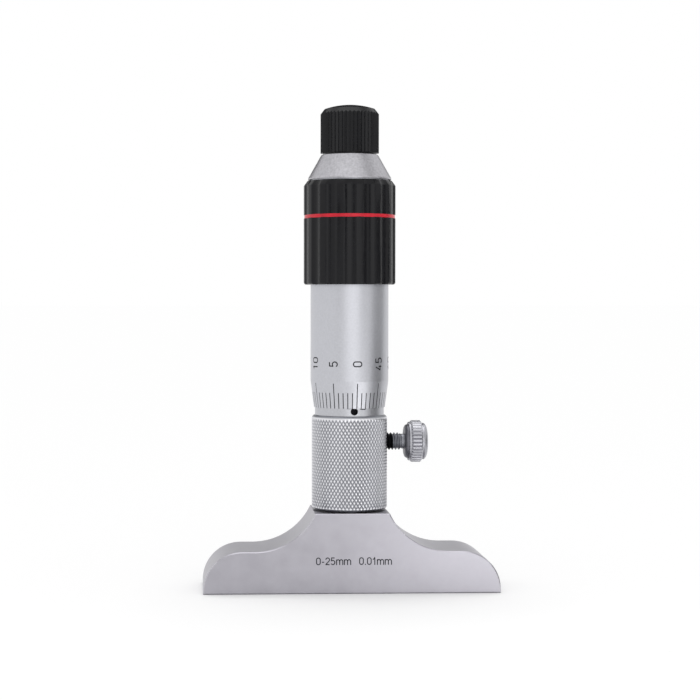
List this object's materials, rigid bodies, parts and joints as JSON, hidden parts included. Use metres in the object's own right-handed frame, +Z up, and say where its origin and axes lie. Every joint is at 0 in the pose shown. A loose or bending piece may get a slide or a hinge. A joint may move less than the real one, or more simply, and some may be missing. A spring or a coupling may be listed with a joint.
{
  "type": "depth micrometer",
  "caption": "Depth micrometer head on a winged steel measuring base, with knurled barrel, bevelled thimble scale, fluted black grip, ratchet cap and side lock screw.",
  "frame": {"origin": "middle of the base's flat measuring face, on the spindle's axis", "axes": "+Z up along the spindle, away from the measuring face; +X along the base, towards the lock screw; the scales face -Y"},
  "size_m": [0.063, 0.0196, 0.1036],
  "materials": {
    "base_steel": "fine ground, satin",
    "barrel_steel": "diamond knurl, satin",
    "black_steel": "blackened",
    "hidden_steel": "ground",
    "sleeve_chrome": "satin, marks filled black",
    "thimble_chrome": "satin, marks and numerals filled black",
    "cone_chrome": "satin",
    "grip_black": "smooth, soft sheen",
    "ring_red": "smooth",
    "cap_black": "straight knurl",
    "screw_steel": "turned, straight knurl",
    "pad_brass": "plain"
  },
  "bodies": {
    "frame": {"base": "base_steel", "barrel": "barrel_steel", "inner_sleeve": "black_steel", "adjusting_nut": "hidden_steel"},
    "scale_sleeve": {"graduated_sleeve": "sleeve_chrome"},
    "spindle": {"spindle": "hidden_steel"},
    "thimble": {"thimble": "thimble_chrome", "grip_sleeve": "grip_black", "grip_ring": "ring_red", "thimble_cone": "cone_chrome", "ratchet_stem": "hidden_steel", "clutch_disc": "hidden_steel", "ratchet_spring": "hidden_steel", "ratchet_washer": "hidden_steel", "ratchet_screw": "hidden_steel"},
    "ratchet_cap": {"ratchet_cap": "cap_black", "cap_disc": "hidden_steel", "cap_cover": "cap_black"},
    "lock_pad": {"lock_pad": "pad_brass"},
    "lock_screw": {"lock_screw": "screw_steel"}
  },
  "joints": [
    {"name": "spindle_travel", "type": "slide", "parent": "frame", "child": "spindle", "axis": [0, 0, 1], "range_m": [0, 0.025]},
    {"name": "thimble_turn", "type": "hinge", "parent": "spindle", "child": "thimble", "pos_m": [0, 0, 0.0876], "axis": [0, 0, 1], "range_deg": [0, 18000]},
    {"name": "ratchet_turn", "type": "hinge", "parent": "thimble", "child": "ratchet_cap", "pos_m": [0, 0, 0.0998], "axis": [0, 0, 1], "continuous": true},
    {"name": "zero_setting", "type": "hinge", "parent": "frame", "child": "scale_sleeve", "pos_m": [0, 0, 0.0374], "axis": [0, 0, 1], "range_deg": [-20, 20]},
    {"name": "lock_travel", "type": "slide", "parent": "frame", "child": "lock_pad", "axis": [1, 0, 0], "range_m": [-0.00012, 0.0014]},
    {"name": "lock_turn", "type": "hinge", "parent": "lock_pad", "child": "lock_screw", "pos_m": [0.008, 0, 0.03155], "axis": [1, 0, 0], "range_deg": [-60, 720]}
  ],
  "couplings": [
    {"joint": "thimble_turn", "follows": "spindle_travel", "rad_per_m": 12566},
    {"joint": "lock_turn", "follows": "lock_travel", "rad_per_m": 8975.9}
  ]
}
